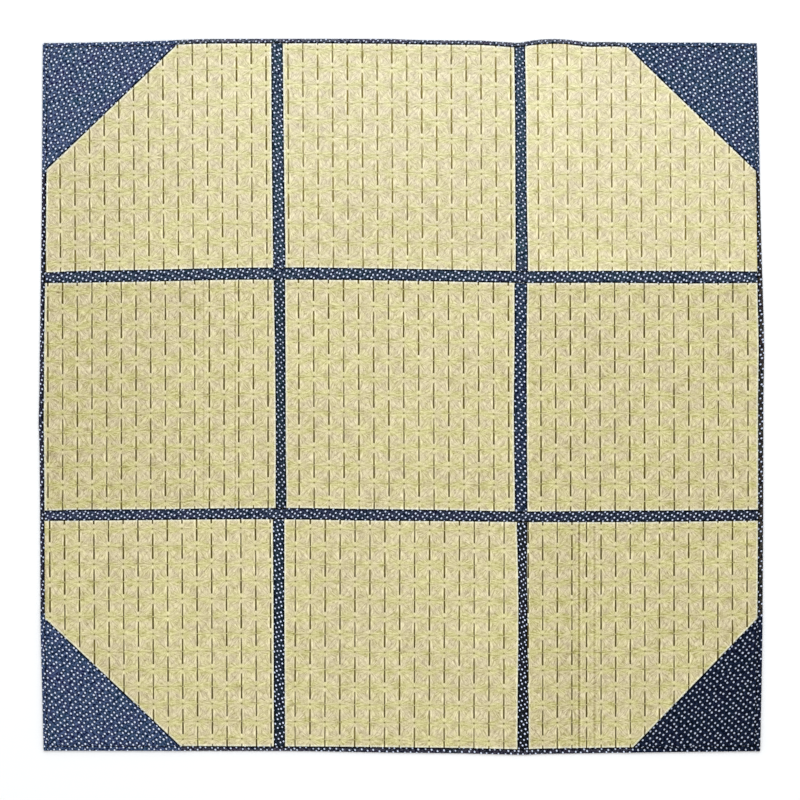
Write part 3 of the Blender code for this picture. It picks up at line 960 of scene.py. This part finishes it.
def addStrip(node, runsAlongX, seed, material):
    axis = 1 if runsAlongX else 0
    lipLow = (layers["lipUnderside"] + 0.2) * mm
    lowEdge = frameLine(node, axis, -1, lipLow)
    highEdge = frameLine(node, axis, 1, lipLow)
    start = frameLine(node, 1 - axis, -1)
    end = frameLine(node, 1 - axis, 1)
    low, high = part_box(node)
    first, last = low[1 - axis], high[1 - axis]
    count = round((last - first) / (cotton["alongStep"] * mm))
    web = cotton["web"]
    rng = np.random.default_rng(seed)
    puckers = rng.uniform(-1, 1, (count + 1, 2)) * cotton["pucker"]
    sections = []
    gaps = []
    for k in range(count + 1):
        at = first + (last - first) * k / count
        centre = (lowEdge(at) + highEdge(at)) / 2
        halfWidth = (highEdge(at) - lowEdge(at)) / 2 / mm
        profile = tapeProfile(halfWidth, web)
        section = []
        for aside, height in profile:
            across = centre + aside * mm
            along = start(across) if k == 0 else end(across) if k == count else at
            top = height > layers["lipTop"] - 0.3
            lift = puckers[k, 0 if aside < 0 else 1] * min(1.0, abs(aside) / 6) if top else 0.0
            z = (height - abs(lift)) * mm
            section.append((along, across, z) if runsAlongX else (across, along, z))
        sections.append(section)
        gaps.append([halfWidth - abs(aside) for aside, _ in profile])
    sections = np.array(sections)
    gaps = np.array(gaps)
    steps = unrolled(tapeProfile(cotton["stripHalfWidth"], web))
    steps = np.array(steps + [steps[-1] + cotton["stripClosing"]])
    piece, columns, rows = rollTube(node.replace("strip", "tape"), sections)
    writeValue(piece, "edgeGap", gaps[rows, columns % sections.shape[1]])
    writeDyeAndPaintedLight(piece, dyesAndPaintedLight[node], rows / count)
    flatAlong = sections[rows, columns % sections.shape[1], 0 if runsAlongX else 1] / mm
    bias = cotton["bias"] if runsAlongX else -cotton["bias"]
    clothUv(piece, flatAlong, steps[columns], seed, bias, cotton["tapeFineness"])
    closeTube(piece)
    finishPiece(piece, material, node)
    return piece


def bindingProfile(width, top):
    # Section of a folded binding, as rows of distance inwards and height, from its lower inner edge
    # out round the fold to its upper inner edge, and back inside
    thick = layers["tape"]
    edge = cotton["edgeRound"]
    stitch = cotton["stitchAt"]
    turns = 4
    low = [
        (thick * (1 - math.sin(a)), thick * (1 - math.cos(a)))
        for a in (math.pi / 2 * k / turns for k in range(turns + 1))
    ]
    high = [(aside, top - height) for aside, height in reversed(low)]
    upper = [
        (width - stitch - 0.7, top),
        (width - stitch, top - cotton["stitchDepth"]),
        (width - stitch + 0.7, top),
        (width - 0.75, top - 0.02),
        (width - 0.2, top - 0.16),
        (width, top - edge),
        (width, top - thick + 0.25),
        (width - 0.3, top - thick),
    ]
    inner = [
        (thick + 0.3, top - thick),
        (thick, top - thick - 0.3),
        (thick, thick + 0.3),
        (thick + 0.3, thick),
        (width - 0.3, thick),
        (width, thick - 0.3),
        (width, edge),
        (width - edge, 0.0),
    ]
    return low + high + upper + inner


def addBinding(side, seed, material):
    node = f"edge_binding_{side}"
    upright = side in ("left", "right")
    axis = 0 if upright else 1
    lipLow = (layers["lipUnderside"] + 0.2) * mm
    rim = frameLine(node, axis, outward[side], layers["tape"] * mm, layers["lipUnderside"] * mm)
    lip = frameLine(node, axis, -outward[side], lipLow)
    top = frameLine(node, axis, -outward[side], lipLow, value=2)
    start = frameLine(node, 1 - axis, -1)
    end = frameLine(node, 1 - axis, 1)
    low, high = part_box(node)
    first, last = low[1 - axis], high[1 - axis]
    count = round((last - first) / (cotton["alongStep"] * mm))
    rng = np.random.default_rng(seed)
    puckers = rng.uniform(0, 1, count + 1) * cotton["pucker"]
    sections = []
    gaps = []
    for k in range(count + 1):
        at = first + (last - first) * k / count
        width = abs(rim(at) - lip(at)) / mm
        height = top(at) / mm
        section = []
        profile = bindingProfile(width, height)
        for inwards, up in profile:
            across = rim(at) - outward[side] * inwards * mm
            along = start(across) if k == 0 else end(across) if k == count else at
            dip = puckers[k] if up > height - 0.3 and 2 < inwards < width - 1 else 0.0
            z = (up - dip) * mm
            section.append((across, along, z) if upright else (along, across, z))
        sections.append(section)
        gaps.append([width - inwards for inwards, _ in profile])
    sections = np.array(sections)
    gaps = np.array(gaps)
    steps = unrolled(bindingProfile(cotton["bindingWidth"], layers["lipTop"]))
    steps = np.array(steps + [steps[-1] + cotton["bindingClosing"]])
    piece, columns, rows = rollTube(node.replace("edge_", ""), sections)
    along = sections[rows, columns % sections.shape[1], 1 if upright else 0]
    patched = []
    overPatch = np.zeros(len(along))
    for other in ("front", "back") if upright else ("left", "right"):
        patchNode = f"corner_patch_{other}_{side}" if upright else f"corner_patch_{side}_{other}"
        patchLow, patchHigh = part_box(patchNode)
        inner = patchHigh[1 - axis] if outward[other] < 0 else patchLow[1 - axis]
        weight = smoothStep((along - inner) * outward[other] / (2 * mm))
        patched.append((patchNode, weight))
        overPatch = np.maximum(overPatch, weight)
    gap = gaps[rows, columns % sections.shape[1]]
    # where the binding lies over a patch its painted edge shade is weaker
    writeValue(piece, "edgeGap", gap + 1.6 * overPatch)
    writeDyeAndPaintedLight(piece, dyesAndPaintedLight[node], rows / count, patched)
    clothUv(piece, along / mm, steps[columns], seed, cotton["bias"], cotton["tapeFineness"])
    closeTube(piece)
    finishPiece(piece, material, node)
    return piece


patch = {
    "cells": 44,
    "fitRounds": 12,
    "hemWidth": 9.0,
    "hemRise": 0.35,
    "edgeDrop": 0.35,
    "edgeDropWidth": 1.2,
    "ripple": 0.14,
    "rippleLengths": (17.0, 23.0),
    "bias": 0.12,
    "flatShare": 0.51,  # of the rectangle round it
}


def addPatch(end, side, seed, material):
    node = f"corner_patch_{end}_{side}"
    panelSide = panelSides(f"panel_{end}_{side}")
    (x0, y0), (x1, y1) = slantEnds(node)
    sideLine = frameLine(node, 0, outward[side])
    endLine = frameLine(node, 1, outward[end])
    low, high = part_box(node)
    tip = low.x if side == "right" else high.x
    cells = patch["cells"]
    piece = startGrid(f"cotton_corner_{end}_{side}", cells, cells)
    columns, rows = gridPlaces(piece, cells, cells)
    u = columns / cells
    v = rows / cells
    if side == "right":
        u = 1 - u
    if end == "front":
        v = 1 - v
    y = np.full(len(u), (y0 + y1) / 2)
    for _ in range(patch["fitRounds"]):
        x = sideLine(y) + (tip - sideLine(y)) * u
        slant = y0 + (y1 - y0) * (x - x0) / (x1 - x0)
        y = slant + (endLine(x) - slant) * v
    z = rushUnderside(panelSide, x, y, layers["patchShift"])
    z += (layers["rush"] + layers["patchGap"] + layers["tape"]) * mm
    writePoints(piece, np.stack([x, y, z], axis=1))
    applyModifier(piece, "SOLIDIFY", thickness=layers["tape"] * mm, offset=-1.0)

    points = readPoints(piece)
    count = len(u)
    long = math.hypot(x1 - x0, y1 - y0)
    gap = np.abs((points[:, 0] - x0) * (y1 - y0) - (points[:, 1] - y0) * (x1 - x0)) / long / mm
    hem = (1 - smoothStep((gap - patch["hemWidth"] + 2) / 2.5)) * smoothStep(gap / 1.5)
    longWave, wideWave = patch["rippleLengths"]
    wave = np.sin(points[:, 0] / mm / longWave + seed) * np.sin(points[:, 1] / mm / wideWave + 2 * seed)
    lift = patch["hemRise"] * hem - patch["edgeDrop"] * bump(gap, patch["edgeDropWidth"])
    lift += patch["ripple"] * (wave - 1) * (1 - hem)
    points[:count, 2] += lift[:count] * mm
    writePoints(piece, points)
    writeValue(piece, "edgeGap", gap)
    writeDyeAndPaintedLight(piece, dyesAndPaintedLight[node], np.full(len(points), 0.5))
    bias = -patch["bias"] if (end == "back") == (side == "left") else patch["bias"]
    clothUv(piece, points[:, 0] / mm, points[:, 1] / mm, seed, bias)
    finishPiece(piece, material, node)
    return piece


addStudio()
print("camera, floor and light are set")

rushFinish = rushMaterial()
for row in ("back", "middle", "front"):
    for column in ("left", "centre", "right"):
        addPanel(row, column, rushFinish)
print("rush panels are woven")

cottonFinish = cottonMaterial()
for number, name in enumerate(("back", "front")):
    addStrip(f"long_strip_{name}", True, cotton["longSeed"] + number, cottonFinish)
for number, row in enumerate(("back", "middle", "front")):
    for turn, side in enumerate(("left", "right")):
        seed = cotton["shortSeed"] + 2 * number + turn
        addStrip(f"short_strip_{row}_{side}", False, seed, cottonFinish)
print("joining strips are sewn")

for number, side in enumerate(outward):
    addBinding(side, cotton["bindingSeed"] + number, cottonFinish)
print("edges are bound")

for number, end in enumerate(("back", "front")):
    for turn, side in enumerate(("left", "right")):
        addPatch(end, side, cotton["patchSeed"] + 2 * number + turn, cottonFinish)
print("corners are patched")
